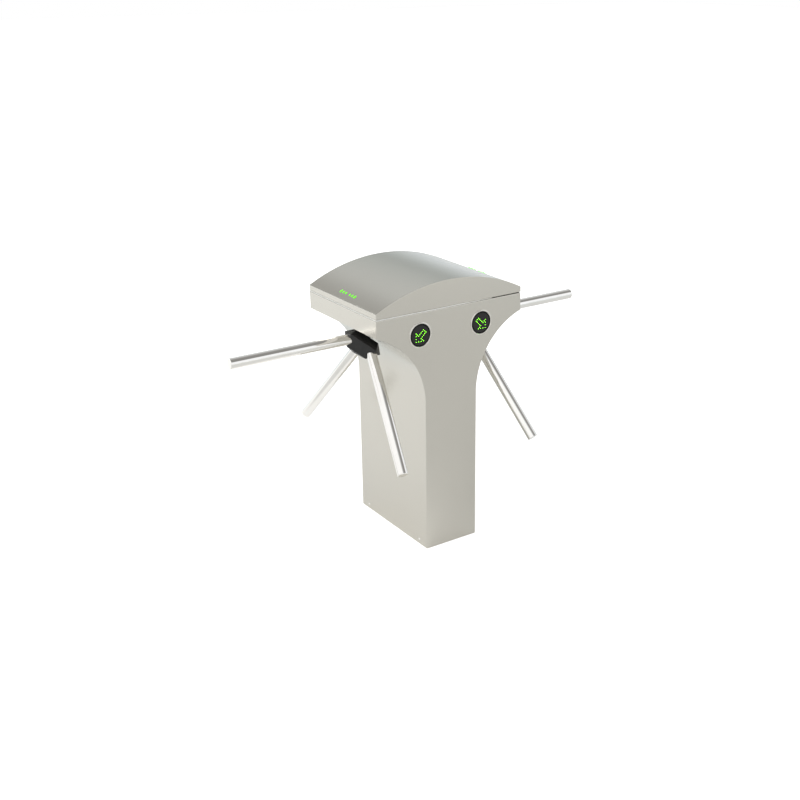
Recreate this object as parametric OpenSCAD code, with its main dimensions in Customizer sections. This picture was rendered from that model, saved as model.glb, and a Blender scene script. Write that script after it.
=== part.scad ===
// Twin-lane tripod turnstile, waist high.
// Frame: X runs across the two lanes, Y along the walking direction, Z up from the floor.
// The origin lies on the floor, in the middle of the column.
// Each tripod has a local frame: Z points out of the cabinet along the rotor's axis,
// X points up and out in the cross-section, Y stays along the walking direction.

/* [Cabinet] */
// Width of the column across the lanes
column_w = 216; // [200:2:230]
// Width of the head across the lanes
head_w = 604; // [580:2:640]
// Depth of the cabinet along the walking direction
cabinet_d = 452; // [430:2:500]
// Height at which the column starts to flare
flare_z = 567.7; // [540:1:580]
// Height of the lower edge of the head's upright sides
head_side_z = 838.8; // [825:1:850]
// Height of the seam under the lid
seam_z = 903.5; // [895:1:930]
// Open gap between the cabinet and the lid
seam_gap = 2; // [1.5:0.5:3]
// Thickness of the stainless sheet
sheet_t = 2; // [1.5:0.5:3]
// Width of the inward flange round the head's top edge
flange_w = 14; // [12:1:18]

/* [Lid] */
// Height of the lid's upright rim above the seam
lid_rim_h = 21.3; // [16:0.5:30]
// Rise of the lid's crown above its rim
crown_rise = 75.2; // [60:1:90]
// Length of the tabs that centre the lid
lid_tab_l = 14; // [10:1:20]

/* [Rotor] */
// Angle of the rotor's axis below the horizontal
axis_tilt = 49; // [48:0.5:50]
// Distance of the rotor's axis from the centre of the flare
axis_offset = 7; // [0:0.2:8]
// Distance from the skin to the point where the arms' centre lines meet
hub_seat = 4.8; // [4:0.2:12]
// Outer diameter of an arm tube
arm_d = 38; // [34:1:40]
// Wall of an arm tube
arm_wall = 2; // [1.5:0.5:3]
// Length of an arm from the meeting point to its tip
arm_reach = 525; // [440:1:530]
// Start of an arm's socket from the meeting point
socket_start = 36; // [34:1:44]
// Height of the hub's back face over the meeting point
hub_back = 2.4; // [1.6:0.2:6]
// Height of the hub's widest section over the meeting point
hub_ridge = 31.5; // [28:0.5:34]
// Height of the hub's front face over the meeting point
hub_front = 73; // [68:0.5:76]
// Distance of the ridge corners from the axis
ridge_r = 73.5; // [71:0.5:76]
// Half width of the ridge corners
ridge_h = 22; // [20:0.5:26]
// Distance of the back face's corners from the axis
back_r = 52; // [50:0.5:54]
// Half width of the back face's corners
back_h = 2.5; // [1:0.5:8]
// Distance of the front face's corners from the axis
face_r = 44; // [42:0.5:48]
// Half width of the front face's corners
face_h = 3; // [1:0.5:8]

/* [Mechanism] */
// Diameter of the rotor shaft
shaft_d = 30; // [28:1:32]
// Depth of the carrier plate's outer face below the meeting point
carrier_depth = 22.4; // [21:0.2:26]
// Thickness of the carrier plate
carrier_t = 10; // [8:1:12]
// Length of the pillars between the two plates
pillar_l = 68; // [64:1:76]
// Thickness of the gear plate
gear_plate_t = 8; // [6:1:10]
// Module of the gears
gear_module = 2.5; // [2.3:0.1:2.5]
// Teeth of the main gear
main_teeth = 45; // [42:3:45]
// Teeth of the pinion
pinion_teeth = 15; // [15:1:16]
// Width of the gears
gear_w = 10; // [8:1:12]
// Radius of the index disc
index_r = 50; // [47:1:51]
// Thickness of the index disc
index_t = 6; // [5:0.5:8]
// Depth of an index notch
notch_depth = 8; // [7:0.5:9]
// Width of an index notch
notch_w = 11; // [10.6:0.1:12]
// Width of the pawl's tooth
tooth_w = 9; // [8:0.1:9.2]
// Swing of the pawl from released to engaged
pawl_swing = 7.4; // [7:0.1:8]
// Diameter of the drive motor
motor_d = 56; // [50:1:57]

/* [Displays] */
// Distance of a display's centre from the middle
display_x = 127.7; // [120:1:150]
// Height of the displays
display_z = 822.5; // [800:0.5:835]
// Diameter of a display's lens
lens_d = 81; // [76:1:85]
// Outer diameter of a display's bezel
bezel_d = 91; // [90:1:100]

/* [Base] */
// Thickness of the base plate
base_t = 6; // [5:1:10]
// Distance of the side screws from the middle, along the depth
side_screw_y = 176.5; // [165:0.5:190]
// Height of the side screws
side_screw_z = 19.5; // [16:0.5:28]
// Spacing of the floor anchors across the lanes
anchor_x = 130; // [110:5:140]
// Spacing of the floor anchors along the depth
anchor_y = 380; // [350:5:390]
// Diameter of the anchor holes
anchor_d = 14; // [12:1:18]
// Diameter of the cable opening in the base
cable_d = 60; // [40:5:80]
// Distance of the bulkheads from the middle
bulkhead_y = 160; // [158:1:165]

/* [Fits] */
// Clearance between fixed pieces that fit into each other
fit = 0.2; // [0.1:0.05:0.3]
// Clearance between a skin and the bulkhead behind it
skin_gap = 0.3; // [0.2:0.1:0.5]
// Running clearance of a shaft in its bearing
run = 0.06; // [0.04:0.01:0.1]
// Clearance where a moving piece rests beside a fixed one
rest_gap = 0.3; // [0.2:0.1:0.5]

/* [Hidden] */
eps = 0.01;
round_fn = 96;
small_fn = 48;
// Length of a cut that has to pass right through whatever it meets
through = 400;
// Outer radius of a fold in the sheet
fold_r = sheet_t + 1;

steel = "#c3c1ba";
polished = "#d9d9d6";
black_paint = "#2b2b2a";
zinc = "#a9adb0";
dark_steel = "#7d8083";

// Notches in the index disc: one at each rest position and one half-way between
index_notches = 6;

half_column = column_w / 2;
half_head = head_w / 2;
half_depth = cabinet_d / 2;
flare_run = half_head - half_column;
flare_r = (flare_run * flare_run + pow(head_side_z - flare_z, 2)) / (2 * flare_run);
flare_x = half_column + flare_r;
body_top = seam_z - seam_gap / 2;
lid_bottom = seam_z + seam_gap / 2;
rim_top = seam_z + lid_rim_h;
crown_r = (half_head * half_head + crown_rise * crown_rise) / (2 * crown_rise);
crown_z = rim_top + crown_rise - crown_r;
// Centre of the fold between the lid's crown and its rim
rim_fold_x = half_head - fold_r;
rim_fold_z = crown_z + sqrt(pow(crown_r - fold_r, 2) - pow(rim_fold_x, 2));

// Apex of the left rotor, where the arms' centre lines meet
apex_x = -flare_x + (flare_r - hub_seat) * cos(axis_tilt) + axis_offset * sin(axis_tilt);
apex_z = flare_z + (flare_r - hub_seat) * sin(axis_tilt) - axis_offset * cos(axis_tilt);

// Outline of the cabinet in the cross-section, drawn smaller by inset
module cabinet_outline(inset, bottom, top) {
    difference() {
        translate([-half_head + inset, bottom])
            square([head_w - 2 * inset, top - bottom]);
        for (side = [-1, 1]) {
            translate([side * flare_x, flare_z])
                circle(r = flare_r + inset, $fn = 240);
            translate([side * (half_column - inset + flare_r), (bottom + flare_z) / 2 - 1])
                square([2 * flare_r, flare_z - bottom + 2], center = true);
        }
    }
}

// The area that a fold of radius r leaves free at a corner, with X and Y pointing into the metal
module outside_fold(r) {
    difference() {
        translate([-1, -1])
            square(r + 1);
        translate([r, r])
            circle(r = r, $fn = small_fn);
    }
}

// The metal that fills the inner side of a fold, with X and Y pointing away from the metal
module inside_fold(r) {
    difference() {
        translate([-eps, -eps])
            square(r + eps);
        translate([r, r])
            circle(r = r, $fn = small_fn);
    }
}

// Lays a cross-section along X, from -length / 2, with its own X along Y and its own Y along Z
module across_width(length) {
    translate([-length / 2, 0, 0])
        rotate([90, 0, 90])
            linear_extrude(length)
                children();
}

// Stands a cross-section up and gives it a length along the depth, from y_from to y_to
module across_depth(y_from, y_to) {
    translate([0, y_to, 0])
        rotate([90, 0, 0])
            linear_extrude(y_to - y_from)
                children();
}

// Repeats a piece at both ends of the cabinet
module both_ends() {
    for (turn = [0, 180])
        rotate([0, 0, turn])
            children();
}

// Moves a piece from a rotor's local frame to its side of the cabinet
module on_rotor(side) {
    rotate([0, 0, side < 0 ? 0 : 180])
        translate([apex_x, 0, apex_z])
            rotate([0, 270 - axis_tilt, 0])
                children();
}

module on_both_rotors() {
    for (side = [-1, 1])
        on_rotor(side)
            children();
}

// A disc or tube between two heights
module ring(outer, inner, low, high, fn = round_fn) {
    translate([0, 0, low])
        difference() {
            cylinder(r = outer, h = high - low, $fn = fn);
            if (inner > 0)
                translate([0, 0, -1])
                    cylinder(r = inner, h = high - low + 2, $fn = fn);
        }
}

// The base frame: plate, side flanges that take the side screws, lugs for the bulkheads
lug_t = 4;
lug_h = 38;
bulkhead_t = 3;
base_half_w = half_column - sheet_t - skin_gap;
base_half_d = half_depth - sheet_t - skin_gap;
side_flange_half = side_screw_y + 18;
side_screw_d = 5;
side_head_d = 9.6;
side_head_h = 2.4;
head_seat = 0.05;

module base_frame() {
    color(zinc)
        difference() {
            union() {
                translate([-base_half_w, -base_half_d, 0])
                    cube([2 * base_half_w, 2 * base_half_d, base_t]);
                for (side = [-1, 1]) {
                    translate([side * (base_half_w - lug_t / 2), 0, base_t + lug_h / 2 - eps])
                        cube([lug_t, 2 * side_flange_half, lug_h], center = true);
                    translate([0, side * (bulkhead_y - bulkhead_t / 2 - fit - lug_t / 2),
                               base_t + lug_h / 2 - eps])
                        cube([2 * base_half_w - 2 * lug_t + 1, lug_t, lug_h], center = true);
                }
            }
            for (x = [-1, 1], y = [-1, 1])
                translate([x * anchor_x / 2, y * anchor_y / 2, -1])
                    cylinder(d = anchor_d, h = base_t + 2, $fn = small_fn);
            translate([0, 0, -1])
                cylinder(d = cable_d, h = base_t + 2, $fn = round_fn);
            for (y = [-1, 1]) {
                translate([0, y * side_screw_y, side_screw_z])
                    rotate([0, 90, 0])
                        cylinder(d = side_screw_d + 2 * fit, h = column_w, center = true, $fn = small_fn);
                translate([0, y * bulkhead_y, base_t + lug_h / 2 + 1])
                    cube([column_w, bulkhead_t + 2 * fit, lug_h + 2], center = true);
            }
        }
}

// Pan-head screws that hold the side skins to the base frame
module base_screws() {
    color(polished)
        for (side = [0, 180], y = [-1, 1])
            rotate([0, 0, side])
                translate([-half_column - head_seat, y * side_screw_y, side_screw_z])
                    rotate([0, -90, 0]) {
                        difference() {
                            cylinder(d1 = side_head_d, d2 = side_head_d - 2.6, h = side_head_h, $fn = small_fn);
                            translate([0, 0, side_head_h - 1.2])
                                cylinder(d = 3.6, h = 2, $fn = 6);
                        }
                        translate([0, 0, -12])
                            cylinder(d = side_screw_d, h = 12 + eps, $fn = small_fn);
                    }
}

// Places a display's centre on the front face, with local Z pointing out of it
module at_displays() {
    both_ends()
        for (x = [-1, 1])
            translate([x * display_x, -half_depth, display_z])
                rotate([90, 0, 0])
                    children();
}

bezel_wall = 2;
spigot_r = lens_d / 2 + bezel_wall;
flange_inner_x = half_head - sheet_t - flange_w;
lock_z = 850;
lock_body_r = 9.5;
lock_body_l = 16;
lock_rim_r = 14;
lock_rim_slope = 1.5;

// A flat end panel with its inward flange folded along the top edge
module end_panel() {
    flange_l = 2 * flange_inner_x - 2;
    difference() {
        union() {
            across_depth(-half_depth, -half_depth + sheet_t)
                cabinet_outline(0, 0, body_top);
            translate([-flange_l / 2, -half_depth + sheet_t - eps, body_top - sheet_t])
                cube([flange_l, flange_w, sheet_t]);
            across_width(flange_l)
                translate([-half_depth + sheet_t, body_top - sheet_t])
                    mirror([0, 1])
                        inside_fold(fold_r - sheet_t);
        }
        across_width(head_w + 2)
            translate([-half_depth, body_top])
                mirror([0, 1])
                    outside_fold(fold_r);
        for (x = [-1, 1])
            translate([x * display_x, -half_depth + sheet_t + 1, display_z])
                rotate([90, 0, 0])
                    cylinder(r = spigot_r + fit, h = sheet_t + 2, $fn = round_fn);
    }
}

module front_panel() {
    color(steel)
        end_panel();
}

module rear_panel() {
    color(steel)
        difference() {
            rotate([0, 0, 180])
                end_panel();
            translate([0, half_depth + 1, lock_z])
                rotate([90, 0, 0])
                    cylinder(r = lock_body_r + fit, h = sheet_t + 2, $fn = small_fn);
        }
}

// A side skin: one sheet bent from the column over the flare to the head's side and its flange
shaft_hole_r = shaft_d / 2 + 7;

module side_skin(side) {
    skin_half = half_depth - sheet_t - fit;
    color(steel)
        difference() {
            rotate([0, 0, side < 0 ? 0 : 180])
                across_depth(-skin_half, skin_half)
                    difference() {
                        union() {
                            difference() {
                                cabinet_outline(0, 0, body_top);
                                cabinet_outline(sheet_t, -1, body_top + 1);
                                translate([0, -1])
                                    square([head_w, body_top + 2]);
                            }
                            translate([-half_head + sheet_t - eps, body_top - sheet_t])
                                square([flange_w, sheet_t]);
                            translate([-half_head + sheet_t, body_top - sheet_t])
                                mirror([0, 1])
                                    inside_fold(fold_r - sheet_t);
                        }
                        translate([-half_head, body_top])
                            mirror([0, 1])
                                outside_fold(fold_r);
                    }
            on_rotor(side)
                ring(shaft_hole_r, 0, -carrier_depth, carrier_depth);
            for (y = [-1, 1])
                translate([side * half_column, y * side_screw_y, side_screw_z])
                    rotate([0, 90, 0])
                        cylinder(d = side_screw_d + 2 * fit, h = 10 * sheet_t, center = true, $fn = small_fn);
        }
}

// A bulkhead: the inner T-shaped plate that carries the mechanisms and stiffens the skins
window_d = 84;
window_rows = [130, 250, 370, 490, 610, 730];

module bulkhead(y) {
    color(zinc)
        across_depth(y - bulkhead_t / 2, y + bulkhead_t / 2)
            difference() {
                cabinet_outline(sheet_t + skin_gap, base_t + skin_gap, body_top - sheet_t - skin_gap);
                for (z = window_rows)
                    translate([0, z])
                        circle(d = window_d, $fn = round_fn);
            }
}

// The soft seal on the head's flange, under the lid
seal_w = 8;
seal_inset = 4;

module lid_seal() {
    color("#1e1e1e")
        translate([0, 0, body_top])
            linear_extrude(seam_gap - rest_gap)
                difference() {
                    square([head_w - 2 * seal_inset, cabinet_d - 2 * seal_inset], center = true);
                    square([head_w - 2 * (seal_inset + seal_w),
                            cabinet_d - 2 * (seal_inset + seal_w)], center = true);
                }
}

// Outline of the lid in the cross-section, drawn smaller by inset, with a fold at each rim
module lid_outline(inset, bottom) {
    difference() {
        intersection() {
            translate([-half_head + inset, bottom])
                square([head_w - 2 * inset, rim_top + crown_rise - bottom]);
            translate([0, crown_z])
                circle(r = crown_r - inset, $fn = 480);
        }
        for (side = [-1, 1])
            difference() {
                polygon([
                    [side * (half_head + 1), rim_fold_z],
                    [side * rim_fold_x, rim_fold_z],
                    [side * rim_fold_x * (crown_r + 1) / (crown_r - fold_r),
                     crown_z + (rim_fold_z - crown_z) * (crown_r + 1) / (crown_r - fold_r)],
                    [side * (half_head + 1), rim_top + fold_r]
                ]);
                translate([side * rim_fold_x, rim_fold_z])
                    circle(r = fold_r - inset, $fn = small_fn);
            }
    }
}

catch_x = 22;
catch_w = 18;
catch_t = 2;
rivet_d = 4;
cam_len = 36;
cam_w = 12;
cam_t = 3;
cam_y = half_depth - sheet_t - 24;
catch_y = cam_y + cam_t + 1.5;
catch_foot_z = lock_z - cam_w / 2 - 6;
lid_tab_w = 24;
lid_tab_in = 30;
tab_y = half_depth - sheet_t - flange_w - 1 - sheet_t;
tab_x = half_head - sheet_t - flange_w - 1 - sheet_t;

// Places the two rivets of the catch on the lid's lip
module at_rivets() {
    for (x = [catch_w / 4, 3 * catch_w / 4])
        translate([catch_x + x, (tab_y + half_depth) / 2, 0])
            children();
}

module lid_shell() {
    inner_half = half_depth - sheet_t;
    color(steel)
        difference() {
            union() {
                difference() {
                    across_depth(-half_depth, half_depth)
                        lid_outline(0, lid_bottom);
                    across_depth(-inner_half, inner_half)
                        lid_outline(sheet_t, lid_bottom - 1);
                }
                translate([0, 0, lid_bottom])
                    linear_extrude(sheet_t)
                        difference() {
                            square([head_w - 2 * sheet_t + 2 * eps, cabinet_d - 2 * sheet_t + 2 * eps],
                                   center = true);
                            square([2 * tab_x, 2 * tab_y], center = true);
                        }
                for (x = [-1, 1], y = [-1, 1]) {
                    translate([x * (tab_x - lid_tab_in) - lid_tab_w / 2,
                               y * (tab_y + sheet_t / 2) - sheet_t / 2,
                               lid_bottom - lid_tab_l])
                        cube([lid_tab_w, sheet_t, lid_tab_l + sheet_t]);
                    translate([x * (tab_x + sheet_t / 2) - sheet_t / 2,
                               y * (tab_y - lid_tab_in) - lid_tab_w / 2,
                               lid_bottom - lid_tab_l])
                        cube([sheet_t, lid_tab_w, lid_tab_l + sheet_t]);
                }
            }
            for (y = [0, 1])
                mirror([0, y, 0])
                    across_width(head_w + 2)
                        translate([-half_depth, lid_bottom])
                            outside_fold(fold_r);
            for (x = [0, 1])
                mirror([x, 0, 0])
                    across_depth(-half_depth - 1, half_depth + 1)
                        translate([-half_head, lid_bottom])
                            outside_fold(fold_r);
            at_rivets()
                ring(rivet_d / 2 + fit, 0, lid_bottom - 1, lid_bottom + sheet_t + 1, small_fn);
        }
}

// The folded catch, riveted on the lid's lip: the lock's cam turns over its foot
module lid_catch() {
    seat = lid_bottom + sheet_t;
    foot_y = cam_y - 3;
    color(zinc) {
        difference() {
            union() {
                translate([catch_x, catch_y, catch_foot_z])
                    cube([catch_w, catch_t, seat + catch_t - catch_foot_z]);
                translate([catch_x, foot_y, catch_foot_z])
                    cube([catch_w, catch_y + catch_t - foot_y, catch_t]);
                translate([catch_x, catch_y, seat])
                    cube([catch_w, half_depth - sheet_t - 3 - catch_y, catch_t]);
            }
            translate([0, catch_y, seat + catch_t])
                mirror([0, 0, 1])
                    across_width(head_w)
                        outside_fold(catch_t);
            translate([0, catch_y + catch_t, catch_foot_z])
                mirror([0, 1, 0])
                    across_width(head_w)
                        outside_fold(catch_t);
        }
        at_rivets() {
            ring(rivet_d / 2, 0, lid_bottom, seat + eps, small_fn);
            ring(rivet_d / 2 + 1.5, 0, seat + catch_t - eps, seat + catch_t + 1.2, small_fn);
        }
    }
}

// The contactless readers under the lid, one to each lane
reader_edge = 27.5;
reader_x = half_head - reader_edge;
reader_w = 40;
reader_l = 104;
reader_t = 12;
reader_wall = 2;

module card_readers() {
    slope = asin(reader_x / crown_r);
    color("#35383b")
        for (side = [-1, 1])
            translate([0, 0, crown_z])
                rotate([0, side * slope, 0])
                    translate([0, 0, crown_r - sheet_t - fit - 2 - reader_t]) {
                        difference() {
                            translate([-reader_w / 2, -reader_l / 2, 0])
                                cube([reader_w, reader_l, reader_t]);
                            translate([-reader_w / 2 + reader_wall, -reader_l / 2 + reader_wall, -1])
                                cube([reader_w - 2 * reader_wall, reader_l - 2 * reader_wall, reader_t - 1]);
                        }
                        for (y = [-1, 1])
                            translate([-reader_w / 2, y * (reader_l / 2 - 6) - 6, reader_t - eps])
                                cube([reader_w, 12, 1.7]);
                    }
}

// The cam lock in the rear panel: the housing stays, the plug and cam turn
plug_r = 6;
lock_face_t = 2.5;
lock_nut_t = 5;

module lock_housing() {
    color(polished)
        translate([0, half_depth, lock_z])
            rotate([-90, 0, 0])
                difference() {
                    union() {
                        cylinder(r1 = lock_rim_r, r2 = lock_rim_r - lock_rim_slope, h = lock_face_t, $fn = small_fn);
                        ring(lock_body_r, 0, -(sheet_t + lock_body_l), eps, small_fn);
                        translate([0, 0, -(sheet_t + lock_nut_t)])
                            cylinder(r = lock_rim_r, h = lock_nut_t, $fn = 6);
                    }
                    ring(plug_r + rest_gap, 0, -through, through, small_fn);
                }
}

module lock_cam() {
    plug_top = half_depth + lock_face_t;
    color("#b8a76a")
        difference() {
            union() {
                translate([0, cam_y, lock_z])
                    rotate([-90, 0, 0])
                        cylinder(r = plug_r, h = plug_top - cam_y - 0.4, $fn = small_fn);
                translate([-cam_w / 2, cam_y, lock_z])
                    cube([cam_w, cam_t, cam_len - cam_w / 2]);
                translate([0, cam_y, lock_z + cam_len - cam_w / 2])
                    rotate([-90, 0, 0])
                        cylinder(d = cam_w, h = cam_t, $fn = small_fn);
                translate([0, cam_y - 3, lock_z])
                    rotate([-90, 0, 0])
                        cylinder(r = 5, h = 3 + eps, $fn = 6);
            }
            translate([-0.8, plug_top - 6, lock_z - 4])
                cube([1.6, 8, 8]);
        }
}

// Direction displays: bezel, tinted lens, LED board and the can behind the panel
bezel_t = 2;
lens_t = 3;
board_t = 1.6;
can_depth = 30;
can_wall = 2;

module display_bezels() {
    color(polished)
        at_displays()
            rotate_extrude($fn = round_fn)
                polygon([
                    [lens_d / 2, -sheet_t - 1],
                    [spigot_r, -sheet_t - 1],
                    [spigot_r, 0],
                    [bezel_d / 2, 0],
                    [bezel_d / 2, 1],
                    [bezel_d / 2 - 1.6, bezel_t],
                    [lens_d / 2 + 0.8, bezel_t],
                    [lens_d / 2, bezel_t - 1]
                ]);
}

module display_lenses() {
    color("#15181a")
        at_displays()
            rotate_extrude($fn = round_fn)
                polygon([
                    [0, bezel_t - 1 - lens_t],
                    [lens_d / 2 - fit, bezel_t - 1 - lens_t],
                    [lens_d / 2 - fit, bezel_t - 1.4],
                    [lens_d / 2 - 1, bezel_t - 1],
                    [0, bezel_t - 1]
                ]);
}

module display_boards() {
    board_top = bezel_t - 1 - lens_t - rest_gap;
    color("#1f5a35")
        at_displays()
            difference() {
                ring(lens_d / 2 - 1, 0, board_top - board_t, board_top);
                for (turn = [45 : 90 : 315])
                    rotate([0, 0, turn])
                        translate([lens_d / 2 - 6, 0, 0])
                            ring(1.6, 0, -10, 10, small_fn);
            }
}

module display_housings() {
    can_r = spigot_r + can_wall + fit;
    seat_top = bezel_t - 1 - lens_t - rest_gap - board_t;
    color("#2c2f31")
        at_displays() {
            difference() {
                ring(can_r, 0, -sheet_t - can_depth, -sheet_t);
                ring(spigot_r + fit, 0, -sheet_t - can_depth + can_wall, 1);
                for (turn = [0, 180])
                    rotate([0, 0, turn])
                        translate([can_r - 10, 0, -sheet_t - can_depth - 1])
                            cylinder(d = 8, h = 10, $fn = small_fn);
            }
            for (turn = [45 : 90 : 315])
                rotate([0, 0, turn])
                    translate([lens_d / 2 - 6, 0, 0]) {
                        ring(3.2, 0, -sheet_t - can_depth + can_wall - eps, seat_top, small_fn);
                        ring(1.4, 0, seat_top - eps, seat_top + board_t, small_fn);
                    }
        }
}

// The equipment plate in the column, with the power supply and the controller on it
equip_low = 150;
equip_h = 330;
equip_t = 3;
equip_half = bulkhead_y - bulkhead_t / 2 - fit;
equip_flange = 20;
cable_hole_d = 24;
cable_hole_inset = 30;
post_h = 10;
post_d = 7;
post_y = 75;
post_z = 95;
supply_t = 42;
supply_w = 110;
supply_h = 200;
slot_pitch = 14;
slot_h = 5;
pcb_t = 1.6;
pcb_w = 170;
pcb_h = 210;
plug_pitch = 25;
relay_pitch = 36;

module equipment_plate() {
    color(zinc) {
        difference() {
            translate([-equip_t / 2, -equip_half, equip_low])
                cube([equip_t, 2 * equip_half, equip_h]);
            for (z = [equip_low + cable_hole_inset, equip_low + equip_h - cable_hole_inset])
                translate([0, 0, z])
                    rotate([0, 90, 0])
                        cylinder(d = cable_hole_d, h = 3 * equip_t, center = true, $fn = small_fn);
        }
        for (side = [-1, 1])
            translate([side < 0 ? -equip_flange : 0, side * (equip_half - equip_t / 2) - equip_t / 2, equip_low])
                cube([equip_flange, equip_t, equip_h]);
        for (y = [-1, 1], z = [-1, 1])
            translate([equip_t / 2 - eps, y * post_y, equip_low + equip_h / 2 + z * post_z])
                rotate([0, 90, 0])
                    cylinder(d = post_d, h = post_h, $fn = small_fn);
    }
}

module power_supply() {
    color("#9a9da0")
        translate([-equip_t / 2 - supply_t, -supply_w / 2, equip_low + (equip_h - supply_h) / 2])
            difference() {
                cube([supply_t, supply_w, supply_h]);
                for (row = [-4 : 4])
                    translate([-1, supply_w / 8, supply_h / 2 + row * slot_pitch - slot_h / 2])
                        cube([3, supply_w * 3 / 4, slot_h]);
            }
}

// The controller: plugs along its lower edge, a processor, and a row of relays near the top
module controller_board() {
    color("#1f6b3a")
        translate([equip_t / 2 + post_h, 0, equip_low + (equip_h - pcb_h) / 2])
            union() {
                translate([0, -pcb_w / 2, 0])
                    cube([pcb_t, pcb_w, pcb_h]);
                for (row = [-2.5 : 2.5])
                    translate([pcb_t - eps, (row - 0.4) * plug_pitch, 8])
                        cube([12, 0.8 * plug_pitch, 11]);
                translate([pcb_t - eps, -18, pcb_h * 0.43])
                    cube([3, 36, 36]);
                for (row = [-1.5 : 1.5])
                    translate([pcb_t - eps, (row - 0.36) * relay_pitch, pcb_h * 0.79])
                        cube([15, 0.72 * relay_pitch, 18]);
            }
}

// The hub: a three-cornered block, widest at its ridge
module corner_outline(reach, half) {
    polygon([for (k = [0 : 2], s = [-1, 1])
        [reach * cos(120 * k) - s * half * sin(120 * k),
         reach * sin(120 * k) + s * half * cos(120 * k)]]);
}

arm_angle = axis_tilt;
arm_r = arm_d / 2;
spigot_l = 14;
set_screw_d = 8;
set_screw_at = 58;
set_screw_l = 8;
hub_screw_d = 12;
hub_screw_head = 18;
hub_screw_floor = 46;
hub_tap_r = 5.2;
hub_tap_l = 34;

// Places a piece on the centre line of arm k, with Z along the arm
module on_arm(k) {
    rotate([0, 0, 120 * k])
        rotate([0, arm_angle, 0])
            children();
}

// Places a set screw's axis at an arm, square to it, from the hub's back bevel
module at_set_screw(k) {
    on_arm(k)
        translate([0, 0, set_screw_at])
            rotate([0, 90, 0])
                children();
}

module hub(side) {
    color(black_paint)
        on_rotor(side)
            difference() {
                hull() {
                    translate([0, 0, hub_back])
                        linear_extrude(eps)
                            corner_outline(back_r, back_h);
                    translate([0, 0, hub_ridge])
                        linear_extrude(eps)
                            corner_outline(ridge_r, ridge_h);
                    translate([0, 0, hub_front - eps])
                        linear_extrude(eps)
                            corner_outline(face_r, face_h);
                }
                for (k = [0 : 2]) {
                    on_arm(k)
                        ring(arm_r + fit, 0, socket_start, through);
                    at_set_screw(k)
                        ring(set_screw_d / 2 + fit, 0, 0, ridge_r, small_fn);
                }
                ring(shaft_d / 2 + fit, 0, hub_back - 1, hub_back + spigot_l + fit);
                ring(hub_screw_d / 2 + 0.5, 0, 0, through, small_fn);
                ring(hub_screw_head / 2 + 0.5, 0, hub_screw_floor, through, small_fn);
            }
}

module hub_screws(side) {
    color(dark_steel)
        on_rotor(side) {
            difference() {
                union() {
                    ring(hub_screw_d / 2, 0, hub_back + spigot_l + 0.4, hub_screw_floor + eps, small_fn);
                    ring(hub_screw_head / 2, 0, hub_screw_floor, hub_screw_floor + hub_screw_d, small_fn);
                }
                translate([0, 0, hub_screw_floor + 5])
                    cylinder(d = 11, h = 20, $fn = 6);
            }
            for (k = [0 : 2])
                at_set_screw(k)
                    difference() {
                        ring(set_screw_d / 2, 0, arm_r + rest_gap, arm_r + rest_gap + set_screw_l, small_fn);
                        translate([0, 0, arm_r + set_screw_l - 3])
                            cylinder(d = 4.4, h = 10, $fn = 6);
                    }
        }
}

cap_t = 3;
cap_round = 2.2;

module arm(side, k) {
    color(polished)
        on_rotor(side)
            on_arm(k)
                ring(arm_r, arm_r - arm_wall, socket_start + rest_gap, arm_reach - cap_t);
}

// A pressed cap closes the tip of each tube
module arm_caps(side) {
    plug = arm_r - arm_wall - fit;
    color(polished)
        on_rotor(side)
            for (k = [0 : 2])
                on_arm(k)
                    translate([0, 0, arm_reach - cap_t])
                        rotate_extrude($fn = round_fn)
                            union() {
                                translate([0, -14])
                                    square([plug, 14 + eps]);
                                square([arm_r, cap_t - cap_round + eps]);
                                translate([0, cap_t - cap_round])
                                    square([arm_r - cap_round, cap_round]);
                                translate([arm_r - cap_round, cap_t - cap_round])
                                    intersection() {
                                        circle(r = cap_round, $fn = 48);
                                        square(cap_round);
                                    }
                            }
}

// Depths along the axis, below the meeting point, from the skin to the encoder
bearing_r = 31;
bearing_w = 16;
housing_flange_r = 45;
housing_flange_t = 8;
housing_spigot_l = 14;
housing_spigot_r = bearing_r + 6;
housing_lip_r = 24;
carrier_in = -(carrier_depth + carrier_t);
gear_plate_out = carrier_in - pillar_l;
gear_plate_in = gear_plate_out - gear_plate_t;
gear_out = gear_plate_in - 10;
gear_in = gear_out - gear_w;
gear_boss = 4;
gear_hole_r = 7;
index_out = gear_in - gear_boss;
index_in = index_out - index_t;
nut_t = 8;
nut_in = index_in - rest_gap - nut_t;
seat_r = shaft_d / 2 - 1;
stub_r = 4;
stub_end = nut_in - 26;
strap_out = nut_in - 12;
strap_t = 3;
encoder_l = 20;
encoder_r = 20;
leg_x = 66;
leg_y = 36;

module shaft(side) {
    collar_out = carrier_in - housing_flange_t - rest_gap;
    color(dark_steel)
        on_rotor(side)
            difference() {
                rotate_extrude($fn = round_fn)
                    polygon([
                        [0, stub_end],
                        [stub_r, stub_end],
                        [stub_r, nut_in - 1],
                        [seat_r - 1, nut_in - 1],
                        [seat_r, nut_in],
                        [seat_r, gear_out],
                        [shaft_d / 2, gear_out],
                        [shaft_d / 2, collar_out - 6],
                        [shaft_d / 2 + 4, collar_out - 6],
                        [shaft_d / 2 + 4, collar_out],
                        [shaft_d / 2, collar_out],
                        [shaft_d / 2, hub_back + spigot_l - 1],
                        [shaft_d / 2 - 1, hub_back + spigot_l],
                        [0, hub_back + spigot_l]
                    ]);
                ring(hub_tap_r, 0, hub_back + spigot_l - hub_tap_l, hub_back + spigot_l + 1, small_fn);
            }
}

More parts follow.
